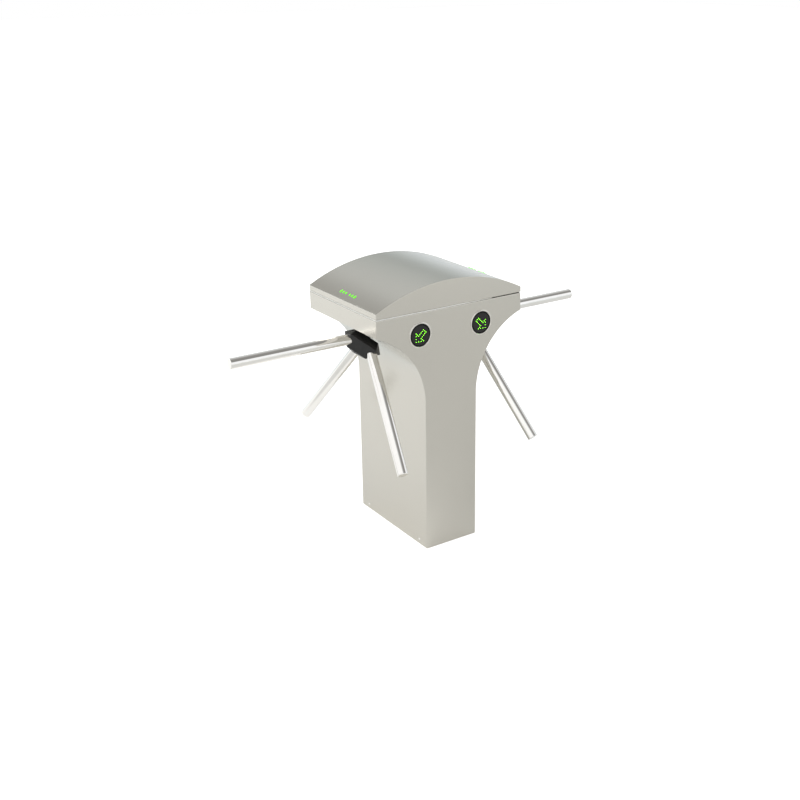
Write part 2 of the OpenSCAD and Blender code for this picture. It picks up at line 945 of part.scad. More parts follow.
module shaft_nut(side) {
    color(zinc)
        on_rotor(side)
            translate([0, 0, nut_in])
                difference() {
                    cylinder(r = seat_r + 9, h = nut_t, $fn = 6);
                    translate([0, 0, -1])
                        cylinder(r = seat_r + fit, h = nut_t + 2, $fn = round_fn);
                }
}

// Carrier plate: bolted between the bulkheads by its bent ends
carrier_low = -108;
carrier_high = 92;
tab_t = 6;
tab_h = 30;
pillar_r = 8;
pillar_spots = [[-96, -100], [-96, 100], [72, -100], [72, 100]];
motor_x = -gear_module * (main_teeth + pinion_teeth) / 2;
gear_plate_y = [-144, 114];
plate_bolt_r = 3;
housing_bolt_r = 2.4;
hand_hole_r = 11;
hand_hole_y = 128;
motor_pilot_r = 12.8;
motor_flange_l = 22;
motor_can_l = 54;
motor_l = 60;

module carrier_plate(side) {
    end_y = bulkhead_y - bulkhead_t / 2 - fit;
    color(zinc)
        on_rotor(side)
            difference() {
                union() {
                    translate([carrier_low, -end_y, carrier_in])
                        cube([carrier_high - carrier_low, 2 * end_y, carrier_t]);
                    for (y = [-1, 1])
                        translate([carrier_low + 14, y * (end_y - tab_t / 2) - tab_t / 2, carrier_in - tab_h])
                            cube([carrier_high - carrier_low - 28, tab_t, tab_h + eps]);
                }
                ring(housing_spigot_r + fit, 0, -through, 0);
                for (turn = [45 : 90 : 315])
                    rotate([0, 0, turn])
                        translate([housing_flange_r - 5, 0, 0])
                            ring(housing_bolt_r + fit, 0, -through, 0, small_fn);
                for (spot = pillar_spots)
                    translate(spot)
                        ring(plate_bolt_r + fit, 0, -through, 0, small_fn);
                for (y = [-1, 1])
                    translate([0, y * hand_hole_y, 0])
                        ring(hand_hole_r, 0, -through, 0, small_fn);
            }
}

module gear_plate(side) {
    color(zinc)
        on_rotor(side)
            difference() {
                translate([carrier_low, gear_plate_y[0], gear_plate_in])
                    cube([carrier_high - carrier_low, gear_plate_y[1] - gear_plate_y[0], gear_plate_t]);
                ring(housing_spigot_r + fit, 0, -through, 0);
                translate([motor_x, 0, 0])
                    ring(motor_pilot_r + fit, 0, -through, 0);
                for (spot = pillar_spots)
                    translate(spot)
                        ring(plate_bolt_r + fit, 0, -through, 0, small_fn);
                for (turn = [45 : 90 : 315])
                    rotate([0, 0, turn])
                        translate([housing_flange_r - 5, 0, 0])
                            ring(housing_bolt_r + fit, 0, -through, 0, small_fn);
            }
}

module plate_pillars() {
    color(dark_steel)
        on_both_rotors()
            for (spot = pillar_spots)
                translate(spot) {
                    ring(pillar_r, 0, gear_plate_out, carrier_in, small_fn);
                    ring(plate_bolt_r, 0, gear_plate_in - 3, gear_plate_out + eps, small_fn);
                    ring(plate_bolt_r, 0, carrier_in - eps, carrier_in + carrier_t + 3, small_fn);
                }
}

// A flanged housing, drawn with its flange on the plate's face at height 0
module flanged_housing() {
    difference() {
        union() {
            ring(housing_flange_r, 0, -housing_flange_t, 0);
            ring(housing_spigot_r, 0, -eps, housing_spigot_l);
        }
        ring(bearing_r + fit / 4, 0, -housing_flange_t - 1, housing_spigot_l - 5);
        ring(housing_lip_r, 0, -20, 20);
        for (turn = [45 : 90 : 315])
            rotate([0, 0, turn])
                translate([housing_flange_r - 5, 0, 0])
                    ring(housing_bolt_r, 0, -20, 1, small_fn);
    }
}

module bearing_housings() {
    color("#8c9094")
        on_both_rotors() {
            translate([0, 0, carrier_in])
                flanged_housing();
            translate([0, 0, gear_plate_out])
                mirror([0, 0, 1])
                    flanged_housing();
        }
}

// A deep-groove bearing: two rings with a row of balls shown in the groove between them
module bearing() {
    inner_wall = 4.5;
    bore = shaft_d / 2 + run;
    mid = (bore + bearing_r) / 2;
    difference() {
        rotate_extrude($fn = round_fn)
            difference() {
                translate([bore, 0])
                    square([bearing_r - bore, bearing_w]);
                translate([bore + inner_wall, -1])
                    square([bearing_r - bore - 2 * inner_wall, 4]);
                translate([bore + inner_wall, bearing_w - 3])
                    square([bearing_r - bore - 2 * inner_wall, 4]);
            }
        for (turn = [0 : 40 : 320])
            rotate([0, 0, turn + 20])
                translate([mid, 0, -1])
                    cylinder(r = 1.6, h = bearing_w + 2, $fn = small_fn);
    }
}

module shaft_bearings() {
    color("#b5b8ba")
        on_both_rotors() {
            translate([0, 0, carrier_in - housing_flange_t + 0.5])
                bearing();
            translate([0, 0, gear_plate_out + housing_flange_t - 0.5 - bearing_w])
                bearing();
        }
}

// Involute gear outline, teeth narrowed a little so that they run free
pressure = 20;
addendum = 0.85;
dedendum = 1.16;
tooth_slack = 0.12;

function involute(r, base) = r <= base ? 0 : tan(acos(base / r)) * 180 / PI - acos(base / r);

function half_tooth(r, teeth) =
    let (pitch = gear_module * teeth / 2, base = pitch * cos(pressure))
    90 / teeth - asin(tooth_slack / pitch) + involute(pitch, base) - involute(r, base);

function flank_radii(teeth) =
    let (pitch = gear_module * teeth / 2,
         base = pitch * cos(pressure),
         root = pitch - dedendum * gear_module,
         tip = pitch + addendum * gear_module,
         low = max(base, root))
    concat([root], root < base ? [low] : [], [for (i = [1 : 3]) low + (tip - low) * i / 3]);

module gear_outline(teeth) {
    radii = flank_radii(teeth);
    count = len(radii);
    polygon([for (tooth = [0 : teeth - 1], i = [0 : 2 * count - 1])
        let (rising = i < count,
             r = rising ? radii[i] : radii[2 * count - 1 - i],
             turn = tooth * 360 / teeth + (rising ? -1 : 1) * half_tooth(r, teeth))
        [r * cos(turn), r * sin(turn)]]);
}

module main_gear(side) {
    hole_ring = (seat_r + gear_module * main_teeth / 2) / 2 + 2;
    color("#9b9ea0")
        on_rotor(side)
            difference() {
                union() {
                    translate([0, 0, gear_in])
                        linear_extrude(gear_w - rest_gap)
                            gear_outline(main_teeth);
                    ring(seat_r + 7, 0, gear_in - gear_boss, gear_in + eps);
                }
                ring(seat_r + fit, 0, -through, 0);
                for (turn = [30 : 60 : 330])
                    rotate([0, 0, turn])
                        translate([hole_ring, 0, 0])
                            ring(gear_hole_r, 0, -through, 0, small_fn);
            }
}

module index_disc(side) {
    color("#85888b")
        on_rotor(side)
            difference() {
                ring(index_r, seat_r + fit, index_in, index_out - fit);
                for (k = [0 : index_notches - 1])
                    rotate([0, 0, -90 + k * 360 / index_notches])
                        translate([index_r - notch_depth, -notch_w / 2, index_in - 1])
                            cube([notch_depth * 2, notch_w, index_t + 2]);
            }
}

pinion_shaft_r = 6;
pinion_tail = gear_plate_out + 12;

module pinion(side) {
    color("#a3a6a8")
        on_rotor(side)
            translate([motor_x, 0, 0]) {
                translate([0, 0, gear_in - 1])
                    linear_extrude(gear_w + 1)
                        gear_outline(pinion_teeth);
                ring(11, 0, gear_out - eps, gear_out + 3);
                ring(pinion_shaft_r, 0, gear_out, pinion_tail, small_fn);
            }
}

module drive_motors() {
    color("#3a3d40")
        on_both_rotors()
            translate([motor_x, 0, 0])
                difference() {
                    union() {
                        ring(motor_d / 2, 0, gear_plate_out, gear_plate_out + motor_flange_l);
                        ring(motor_d / 2 - 2, 0, gear_plate_out + motor_flange_l - eps, gear_plate_out + motor_can_l);
                        ring(motor_d / 2, 0, gear_plate_out + motor_can_l - eps, gear_plate_out + motor_l);
                        ring(motor_pilot_r, 0, gear_plate_in + 2, gear_plate_out + eps);
                        translate([-8, motor_d / 2 - 6, gear_plate_out + 30])
                            cube([16, 12, 18]);
                    }
                    ring(pinion_shaft_r + rest_gap, 0, -through, pinion_tail + 2, small_fn);
                }
}

// The index pawl: its tooth drops into a notch when the plunger pushes it
pivot = [58, -index_r];
tooth_tip = index_r - notch_depth + 2;
pawl_back = index_r + 22;
pivot_pin_r = 4;
pawl_boss_r = 9;
push_x = 10;
plunger_r = 5;
dome_r = 4;

// Where the back of the released pawl crosses the plunger's line
push_rel = [push_x - pivot[0], -pawl_back - pivot[1]];
push_edge = pivot[1] + (-push_rel[0] * -sin(pawl_swing) + push_rel[1] * cos(pawl_swing))
    - (push_x - (pivot[0] + push_rel[0] * cos(pawl_swing) - push_rel[1] * sin(pawl_swing)))
    * -tan(pawl_swing);
dome_y = push_edge - (dome_r + 0.4) / cos(pawl_swing);
plunger_travel = -pawl_back - dome_r - 0.4 - dome_y;

module pawl(side) {
    color("#a3a6a8")
        on_rotor(side)
            translate([pivot[0], pivot[1], index_in + fit / 2])
                rotate([0, 0, pawl_swing])
                    linear_extrude(index_t - 2 * fit)
                        difference() {
                            union() {
                                translate(-pivot)
                                    polygon([
                                        [-tooth_w / 2 - 3, -pawl_back],
                                        [34, -pawl_back],
                                        [pivot[0] + 6, -index_r - 8],
                                        [pivot[0] - 2, -index_r + pawl_boss_r - 1],
                                        [tooth_w / 2 + 7, -index_r - 10],
                                        [tooth_w / 2, -index_r - 10],
                                        [tooth_w / 2 - 0.5, -tooth_tip],
                                        [-tooth_w / 2 + 0.5, -tooth_tip],
                                        [-tooth_w / 2, -index_r - 10],
                                        [-tooth_w / 2 - 3, -index_r - 10]
                                    ]);
                                circle(r = pawl_boss_r, $fn = small_fn);
                            }
                            circle(r = pivot_pin_r + run, $fn = small_fn);
                        }
}

module pawl_pivots() {
    color(dark_steel)
        on_both_rotors()
            translate(pivot) {
                ring(pivot_pin_r, 0, index_in - 4, gear_plate_in, small_fn);
                ring(pivot_pin_r + 3, 0, index_in - 6, index_in - 0.4, small_fn);
            }
}

// Torsion spring round the pivot, swept as one wire from its foot to its free leg
wire_r = 0.7;
coil_r = 7;
coil_turns = 4;
coil_low = index_out + 2.5;
coil_high = gear_plate_in - 4;
coil_steps = 12;

function coil_path() = concat(
    [[coil_r, -0.01, gear_plate_in - 0.4], [coil_r, 0, coil_high + 1.5]],
    [for (i = [0 : coil_turns * coil_steps])
        let (turn = 360 * i / coil_steps, part = i / (coil_turns * coil_steps))
        [coil_r * cos(turn), coil_r * sin(turn), coil_high + (coil_low - coil_high) * part]],
    [[coil_r, 10, coil_low - 0.6]]);

function unit(v) = v / norm(v);

module swept_wire(path, r, sides) {
    last = len(path) - 1;
    heading = [for (i = [0 : last]) unit(path[min(i + 1, last)] - path[max(i - 1, 0)])];
    outward = [for (i = [0 : last])
        let (flat = [path[i][0], path[i][1], 0], side = cross(heading[i], flat))
        unit(side)];
    points = [for (i = [0 : last], k = [0 : sides - 1])
        let (turn = 360 * k / sides, up = outward[i], across = cross(heading[i], outward[i]))
        path[i] + r * (cos(turn) * across + sin(turn) * up)];
    faces = concat(
        [[for (k = [0 : sides - 1]) k]],
        [for (i = [0 : last - 1], k = [0 : sides - 1], half = [0, 1])
            let (a = i * sides + k,
                 b = i * sides + (k + 1) % sides,
                 c = a + sides,
                 d = b + sides)
            half == 0 ? [a, c, b] : [b, c, d]],
        [[for (k = [sides - 1 : -1 : 0]) last * sides + k]]);
    polyhedron(points, faces);
}

module pawl_springs() {
    color("#c9cccf")
        on_both_rotors()
            translate([pivot[0], pivot[1], 0])
                swept_wire(coil_path(), wire_r, 6);
}

// Solenoid that throws the pawl: body on the gear plate, plunger along local Y
solenoid_w = 32;
solenoid_near = dome_y - 8;
solenoid_l = 44;

module at_plunger() {
    translate([push_x, 0, (index_in + index_out) / 2])
        rotate([-90, 0, 0])
            children();
}

module pawl_solenoids() {
    top = (index_in + index_out) / 2 - solenoid_w / 2;
    color("#2f3336")
        on_both_rotors()
            difference() {
                union() {
                    translate([push_x - solenoid_w / 2, solenoid_near - solenoid_l, top])
                        cube([solenoid_w, solenoid_l, solenoid_w]);
                    translate([push_x - solenoid_w / 2 + 3, solenoid_near - solenoid_l, top + solenoid_w - eps])
                        cube([solenoid_w - 6, solenoid_l, gear_plate_in - top - solenoid_w]);
                }
                at_plunger()
                    ring(plunger_r + rest_gap, 0, solenoid_near - solenoid_l + 4, solenoid_near + 1, small_fn);
            }
}

module plunger(side) {
    color(polished)
        on_rotor(side)
            at_plunger()
                rotate_extrude($fn = small_fn)
                    union() {
                        translate([0, solenoid_near - solenoid_l + 8])
                            square([plunger_r, solenoid_l - 6]);
                        translate([0, solenoid_near])
                            square([dome_r, dome_y - solenoid_near]);
                        translate([0, dome_y])
                            intersection() {
                                circle(r = dome_r, $fn = small_fn);
                                square(dome_r);
                            }
                    }
}

// The encoder reads the rotor's angle at the end of the shaft's stub
module encoder_brackets() {
    color(zinc)
        on_both_rotors()
            difference() {
                union() {
                    for (x = [-1, 1])
                        translate([x * leg_x, leg_y, 0])
                            ring(5, 0, strap_out - eps, gear_plate_in, small_fn);
                    translate([-leg_x - 8, -16, strap_out - strap_t])
                        cube([2 * leg_x + 16, leg_y + 24, strap_t]);
                }
                ring(stub_r + 3, 0, -through, 0, small_fn);
            }
}

module angle_encoders() {
    color("#26292c")
        on_both_rotors()
            difference() {
                union() {
                    ring(encoder_r, 0, strap_out - strap_t - encoder_l, strap_out - strap_t);
                    translate([encoder_r - 4, -6, strap_out - strap_t - encoder_l + 4])
                        cube([10, 12, 10]);
                }
                ring(stub_r + rest_gap, 0, stub_end - 2, 0, small_fn);
            }
}

base_frame();
front_panel();
rear_panel();
side_skin(-1);  // left_side_skin
side_skin(1);  // right_side_skin
bulkhead(-bulkhead_y);  // front_bulkhead
bulkhead(bulkhead_y);  // rear_bulkhead
lid_seal();
base_screws();
carrier_plate(-1);  // left_carrier_plate
carrier_plate(1);  // right_carrier_plate
gear_plate(-1);  // left_gear_plate
gear_plate(1);  // right_gear_plate
plate_pillars();
bearing_housings();
shaft_bearings();
drive_motors();
pawl_pivots();
pawl_springs();
pawl_solenoids();
encoder_brackets();
angle_encoders();
display_bezels();
display_lenses();
display_boards();
display_housings();
equipment_plate();
power_supply();
controller_board();
lock_housing();
lid_shell();
lid_catch();
card_readers();
lock_cam();
hub(-1);  // left_hub
shaft(-1);  // left_shaft
arm(-1, 0);  // left_arm_1
arm(-1, 1);  // left_arm_2
arm(-1, 2);  // left_arm_3
arm_caps(-1);  // left_arm_caps
hub_screws(-1);  // left_hub_screws
main_gear(-1);  // left_main_gear
index_disc(-1);  // left_index_disc
shaft_nut(-1);  // left_shaft_nut
hub(1);  // right_hub
shaft(1);  // right_shaft
arm(1, 0);  // right_arm_1
arm(1, 1);  // right_arm_2
arm(1, 2);  // right_arm_3
arm_caps(1);  // right_arm_caps
hub_screws(1);  // right_hub_screws
main_gear(1);  // right_main_gear
index_disc(1);  // right_index_disc
shaft_nut(1);  // right_shaft_nut
pinion(-1);  // left_pinion
pinion(1);  // right_pinion
pawl(-1);  // left_pawl
pawl(1);  // right_pawl
plunger(-1);  // left_plunger
plunger(1);  // right_plunger
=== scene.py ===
# %% [markdown]
# # Dressing a twin-lane tripod turnstile
# The CAD model already holds every piece of the turnstile at its real size. This script gives
# the pieces their looks: finishes, softened hubs, lit displays and marks, and the pale lip in the
# seam. It also sets up the camera, the floor, the room and a lamp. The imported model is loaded
# first and is never moved, so all that follows is fitted to it.

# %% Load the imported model
from math import asin, cos, pi, radians, sin, sqrt

import bmesh
import bpy
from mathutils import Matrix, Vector


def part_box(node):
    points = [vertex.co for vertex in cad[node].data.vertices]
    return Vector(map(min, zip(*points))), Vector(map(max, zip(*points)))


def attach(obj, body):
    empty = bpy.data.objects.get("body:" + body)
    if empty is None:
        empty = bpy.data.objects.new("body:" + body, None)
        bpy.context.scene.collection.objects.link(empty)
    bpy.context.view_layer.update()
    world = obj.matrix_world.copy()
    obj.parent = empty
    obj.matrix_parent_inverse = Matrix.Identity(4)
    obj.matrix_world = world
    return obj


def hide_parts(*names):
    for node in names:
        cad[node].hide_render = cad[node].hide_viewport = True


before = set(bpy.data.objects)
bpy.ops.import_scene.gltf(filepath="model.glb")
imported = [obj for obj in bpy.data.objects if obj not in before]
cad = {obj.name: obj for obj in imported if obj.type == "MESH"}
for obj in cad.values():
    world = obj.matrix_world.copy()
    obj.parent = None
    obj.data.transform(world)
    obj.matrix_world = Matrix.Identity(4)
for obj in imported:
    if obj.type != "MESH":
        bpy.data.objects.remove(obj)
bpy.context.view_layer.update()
scene = bpy.context.scene
mm = 0.001

# %% [markdown]
# ## The camera
# A product picture is taken with a fairly long lens, from a little above the head of the
# turnstile. The camera is placed by two angles and a distance, because those are what a
# photographer would note down. The picture was cropped off-centre, which a small lens shift
# repeats without turning the camera.

# %% Place the camera
camera_azimuth = radians(-35.12)
camera_elevation = radians(20.53)
camera_distance = 3.994
camera_target = Vector((0.0, -0.2306, 0.6146))
lens_mm = 51.2
sensor_mm = 36.0
picture_px = 800
axis_right_px = 52.0
axis_up_px = 14.5

camera_data = bpy.data.cameras.new("camera")
camera_data.lens = lens_mm
camera_data.sensor_width = sensor_mm
camera_data.shift_x = -axis_right_px / picture_px
camera_data.shift_y = -axis_up_px / picture_px
camera = bpy.data.objects.new("camera", camera_data)
scene.collection.objects.link(camera)
toward_camera = Vector((
    sin(camera_azimuth) * cos(camera_elevation),
    -cos(camera_azimuth) * cos(camera_elevation),
    sin(camera_elevation),
))
camera.location = camera_target + camera_distance * toward_camera
camera.rotation_euler = (-toward_camera).to_track_quat("-Z", "Y").to_euler()
scene.camera = camera
scene.view_settings.view_transform = "Standard"
print("camera at", [round(c, 3) for c in camera.location])

# %% [markdown]
# ## Building materials from nodes
# Each finish below is a small node tree. One helper adds a node, sets its properties and fills
# its inputs, so a tree reads like a recipe. An input that is given a socket is linked to it, and
# any other value is set as it is. Colours are written as the sRGB hex values that a paint chart
# or a photo gives, and one function turns them into the linear values that light adds up in.

# %% Helpers for materials
def linear(hex_colour):
    """Turns an sRGB hex colour such as "C8C5BD" into linear RGBA."""
    channels = [int(hex_colour[i:i + 2], 16) / 255 for i in (0, 2, 4)]
    return (*[c / 12.92 if c <= 0.04045 else ((c + 0.055) / 1.055) ** 2.4 for c in channels], 1.0)


def add(tree, kind, inputs=None, **settings):
    """Adds a shader node with its properties and its inputs, linked or set."""
    node = tree.nodes.new("ShaderNode" + kind)
    for name, value in settings.items():
        setattr(node, name, value)
    for name, value in (inputs or {}).items():
        if isinstance(value, bpy.types.NodeSocket):
            tree.links.new(value, node.inputs[name])
        else:
            node.inputs[name].default_value = value
    return node


def new_material(name):
    """An empty material with its output node."""
    material = bpy.data.materials.new(name)
    material.use_nodes = True
    material.node_tree.nodes.clear()
    add(material.node_tree, "OutputMaterial")
    return material


def finish_with(material, shader):
    """Links the last shader to the material's output, and says what was made."""
    tree = material.node_tree
    tree.links.new(shader.outputs[0], tree.nodes["Material Output"].inputs["Surface"])
    print(material.name, "has", len(tree.nodes), "nodes")
    return material


print("middle grey, 808080, as linear light:", round(linear("808080")[0], 3))

# %% [markdown]
# ## Patterns at a real size
# Scratches, smears and grain are all drawn with noise. Its features are about one unit across,
# so dividing the place by a size in millimetres gives features of that size, and a different
# size along each axis stretches them into scratches. Noise seldom comes near 0 or 1, so only
# its usual middle part is spread over the range that is wanted. Noise needs no unwrapping and
# shows no seam, which suits folded sheets and tubes.

# %% Noise at a real size
def stretched_noise(tree, size_mm, detail=3.0, roughness=0.6):
    """Noise whose features have the given size along X, Y and Z, in millimetres."""
    place = add(tree, "TexCoord").outputs["Object"]
    scaled = add(tree, "Mapping", {
        "Vector": place,
        "Scale": [1 / (side * mm) for side in size_mm],
    })
    return add(tree, "TexNoise", {
        "Vector": scaled.outputs["Vector"],
        "Scale": 1.0,
        "Detail": detail,
        "Roughness": roughness,
    }).outputs["Fac"]


noise_low, noise_high = 0.3, 0.7


def spread(tree, value, low, high):
    """Maps the part of its range where a noise mostly lies to a range of values."""
    return add(tree, "MapRange", {
        "Value": value,
        "From Min": noise_low,
        "From Max": noise_high,
        "To Min": low,
        "To Max": high,
    }).outputs["Result"]


print("the part of a noise that is spread:", noise_low, "to", noise_high)

# %% Mix two colours
# A Mix node has sockets for numbers and vectors too. These are the ones for colours.
below_socket, above_socket, mixed_socket = 6, 7, 2


def mix_colours(tree, share, below, above):
    """Covers one colour by a share of another, each a socket or a linear colour."""
    mixed = add(tree, "Mix", {
        "Factor": share,
        below_socket: below,
        above_socket: above,
    }, data_type="RGBA")
    return mixed.outputs[mixed_socket]


def blend_colours(tree, share, first, second):
    """A colour between two hex colours."""
    return mix_colours(tree, share, linear(first), linear(second))


print("sockets of a colour mix:", below_socket, above_socket, mixed_socket)

# %% [markdown]
# ## Satin stainless steel
# The cabinet is folded from stainless sheet with a brushed satin face, the common finish of
# lobby furniture. Brushing drags grit along the sheet in one direction, so the scratches are
# long and narrow, and the face blurs what it mirrors. The real scratches are about 0.1 mm wide,
# too fine for this picture, so they are drawn 1.5 mm wide and kept very faint. The same noise
# moves the roughness, the height and a little of the colour, and a second, broader one stands
# for the patches that wiping leaves. The bezels of the displays are small, so their grain is
# drawn without a direction.

# %% Satin stainless steel
def satin_stainless(name, grain_mm, dark="CAC7BF", light="CDCAC2"):
    """Brushed metal; grain_mm is the size of a drawn scratch along X, Y and Z."""
    material = new_material(name)
    tree = material.node_tree
    scratches = stretched_noise(tree, grain_mm, detail=4.0)
    handling = stretched_noise(tree, (180, 180, 220), detail=2.0)
    colour = blend_colours(tree, spread(tree, scratches, 0.0, 1.0), dark, light)
    rough_grain = spread(tree, scratches, -0.015, 0.015)
    rough = add(tree, "Math", {0: rough_grain, 1: spread(tree, handling, 0.19, 0.22)}, operation="ADD")
    relief = add(tree, "Bump", {"Height": scratches, "Strength": 0.02, "Distance": 0.1 * mm})
    return finish_with(material, add(tree, "BsdfPrincipled", {
        "Base Color": colour,
        "Metallic": 1.0,
        "Roughness": rough.outputs[0],
        "Normal": relief.outputs["Normal"],
    }))


steel_upright = satin_stainless("satin stainless, brushed upright", (1.5, 1.5, 60))
steel_along = satin_stainless("satin stainless, brushed along", (1.5, 60, 1.5))
steel_trim = satin_stainless("satin stainless, turned trim", (3, 3, 3), "DAD7D0", "DEDBD4")

# %% [markdown]
# ## Polished stainless steel
# The arms are handled all day, so they are drawn tube buffed to a mirror. A buffing wheel
# leaves a very faint haze, and hands leave soft patches. Both only change the roughness by a
# hundredth or two, which is enough to keep the long highlights from looking computed.

# %% Polished stainless steel
def polished_stainless():
    """The mirror finish of the arms and their caps, and of the lock and the base screws."""
    material = new_material("polished stainless tube")
    tree = material.node_tree
    haze = stretched_noise(tree, (9, 9, 9), detail=3.0)
    smears = stretched_noise(tree, (60, 60, 60), detail=2.0)
    rough = add(tree, "Math", {
        0: spread(tree, haze, 0.0, 0.01),
        1: spread(tree, smears, 0.035, 0.055),
    }, operation="ADD")
    return finish_with(material, add(tree, "BsdfPrincipled", {
        "Base Color": blend_colours(tree, spread(tree, smears, 0.0, 1.0), "ECEAE6", "F0EEEB"),
        "Metallic": 1.0,
        "Roughness": rough.outputs[0],
    }))


steel_polished = polished_stainless()

# %% [markdown]
# ## Powder coat
# The hubs are cast and powder coated in black. The powder melts into a skin with a fine
# orange-peel texture, satin rather than glossy. Its bumps are about 0.4 mm across, drawn here
# at 0.8 mm so that they still soften the highlight. The motors inside are enamelled and baked,
# which gives a smoother skin of the same kind.

# %% Black powder coat
def powder_coat(name, dark, light, roughness):
    """A baked finish with a fine orange peel."""
    material = new_material(name)
    tree = material.node_tree
    peel = stretched_noise(tree, (0.8, 0.8, 0.8), detail=1.0)
    wear = stretched_noise(tree, (30, 30, 30), detail=3.0)
    relief = add(tree, "Bump", {"Height": peel, "Strength": 0.25, "Distance": 0.05 * mm})
    return finish_with(material, add(tree, "BsdfPrincipled", {
        "Base Color": blend_colours(tree, spread(tree, wear, 0.0, 1.0), dark, light),
        "Roughness": spread(tree, wear, roughness - 0.04, roughness + 0.04),
        "IOR": 1.5,
        "Normal": relief.outputs["Normal"],
    }))


hub_black = powder_coat("black powder coat", "161615", "1D1D1C", 0.42)
motor_enamel = powder_coat("black stoving enamel", "1B1C1D", "242628", 0.34)

# %% [markdown]
# ## Smoked acrylic
# The face of each display is a disc of smoked acrylic: dark, smooth and slightly glossy. It
# lets so little daylight in that it can be drawn as an opaque dark plastic.

# %% Smoked acrylic
def smoked_acrylic():
    """Dark face with a matting coat, which takes away about half of its gloss."""
    material = new_material("smoked acrylic")
    tree = material.node_tree
    streaks = stretched_noise(tree, (25, 25, 25), detail=2.0)
    return finish_with(material, add(tree, "BsdfPrincipled", {
        "Base Color": blend_colours(tree, spread(tree, streaks, 0.0, 1.0), "242423", "292927"),
        "Roughness": spread(tree, streaks, 0.22, 0.28),
        "IOR": 1.49,
        "Specular IOR Level": 0.25,
    }))


display_face = smoked_acrylic()

# %% [markdown]
# ## Lit diodes and marks
# The diodes in the displays are epoxy domes, and the reader marks are acrylic lit from behind.
# A small lamp could stand behind each of them, but a glowing surface is simpler and looks the
# same from here. It is just strong enough that the green stays green instead of burning out.

# %% Lit green
def lit_green(name, green, strength, cloud_green="7CF228"):
    """Epoxy or acrylic lit from behind, in two greens, since a moulded part never glows evenly."""
    material = new_material(name)
    tree = material.node_tree
    cloud = stretched_noise(tree, (2, 2, 2), detail=1.0)
    light = blend_colours(tree, spread(tree, cloud, 0.0, 1.0), green, cloud_green)
    return finish_with(material, add(tree, "BsdfPrincipled", {
        "Base Color": linear("1C4A0A"),
        "Roughness": 0.5,
        "IOR": 1.55,
        "Specular IOR Level": 0.2,
        "Emission Color": light,
        "Emission Strength": strength,
    }))


diode_lit = lit_green("lit green diode epoxy", "8CFF30", 6.2)
mark_lit = lit_green("backlit green acrylic", "62F01E", 1.6)

# %% [markdown]
# ## Black rings, moulded plastic and rubber
# The black lens rings, moulded ABS, sponge rubber and silicone are all dull, because their skin
# is grainy. An unlit diode is the same epoxy as a lit one and has the smoothest skin of these.
# They differ only in colour, gloss, refraction and the size of the grain, so one recipe is enough.

# %% Black rings, moulded plastic and rubber
def dull_plastic(name, dark, light, roughness, ior=1.5, gloss=0.5, grain=0.6):
    """Moulded plastic or rubber with a fine spark-eroded grain."""
    material = new_material(name)
    tree = material.node_tree
    texture = stretched_noise(tree, (grain, grain, grain), detail=2.0)
    patches = stretched_noise(tree, (20, 20, 20), detail=2.0)
    relief = add(tree, "Bump", {"Height": texture, "Strength": 0.2, "Distance": 0.04 * mm})
    return finish_with(material, add(tree, "BsdfPrincipled", {
        "Base Color": blend_colours(tree, spread(tree, patches, 0.0, 1.0), dark, light),
        "Roughness": spread(tree, texture, roughness - 0.05, roughness + 0.05),
        "IOR": ior,
        "Specular IOR Level": gloss,
        "Normal": relief.outputs["Normal"],
    }))


diode_dark = dull_plastic("unlit diode epoxy", "1C1D1C", "222321", 0.4, ior=1.55, gloss=0.25)
black_lens_ring = dull_plastic("black lens ring", "0C0C0C", "111110", 0.5, gloss=0.12, grain=0.3)
abs_black = dull_plastic("moulded black ABS", "232425", "2A2B2D", 0.5)
sponge_black = dull_plastic("black rubber sponge", "1A1A19", "232322", 0.7, gloss=0.2, grain=1.2)
# The lip's white is partly a painted highlight: it gives the seam the pale line that a folded sheet edge
# catches.
white_lip_and_painted_highlight = dull_plastic("white silicone strip, painted seam highlight", "F0F0EB", "F4F4F0", 0.55, ior=1.41, grain=1.2)

# %% [markdown]
# ## Metals inside the cabinet
# Behind the skins everything is made to work and not to be looked at. Bent brackets are zinc
# plated, which dries in cloudy patches with a cool tint. Shafts, gears and pawls are turned or
# milled and oiled, so they are darker and streaky. Housings and the power supply are aluminium,
# and the lock's plug is brass. They share one recipe, with the tool marks' size as a setting.

# %% Plated, turned and cast metals
def workshop_metal(name, first, second, roughness, mark_mm, patch_mm=25):
    """Bare or plated metal with tool marks of the given size along X, Y and Z."""
    material = new_material(name)
    tree = material.node_tree
    marks = stretched_noise(tree, mark_mm, detail=3.0)
    patches = stretched_noise(tree, (patch_mm, patch_mm, patch_mm), detail=3.0)
    relief = add(tree, "Bump", {"Height": marks, "Strength": 0.15, "Distance": 0.05 * mm})
    return finish_with(material, add(tree, "BsdfPrincipled", {
        "Base Color": blend_colours(tree, spread(tree, patches, 0.0, 1.0), first, second),
        "Metallic": 1.0,
        "Roughness": spread(tree, marks, roughness - 0.06, roughness + 0.06),
        "Normal": relief.outputs["Normal"],
    }))


zinc_plate = workshop_metal("zinc-plated sheet", "B4B9BE", "C6CACD", 0.42, (4, 4, 4), patch_mm=14)
turned_steel = workshop_metal("turned and oiled steel", "8B8E92", "A3A6A9", 0.3, (0.6, 6, 0.6))
bearing_steel = workshop_metal("ground bearing steel", "B9BCC0", "C8CBCE", 0.2, (0.5, 0.5, 8))
spring_wire = workshop_metal("drawn spring wire", "A8ABB0", "BFC2C6", 0.28, (0.4, 3, 0.4))
cast_aluminium = workshop_metal("machined aluminium", "C2C5C8", "D0D2D4", 0.36, (0.8, 5, 0.8))
lock_brass = workshop_metal("turned brass", "BE9F5A", "CDB070", 0.3, (0.5, 4, 0.5))

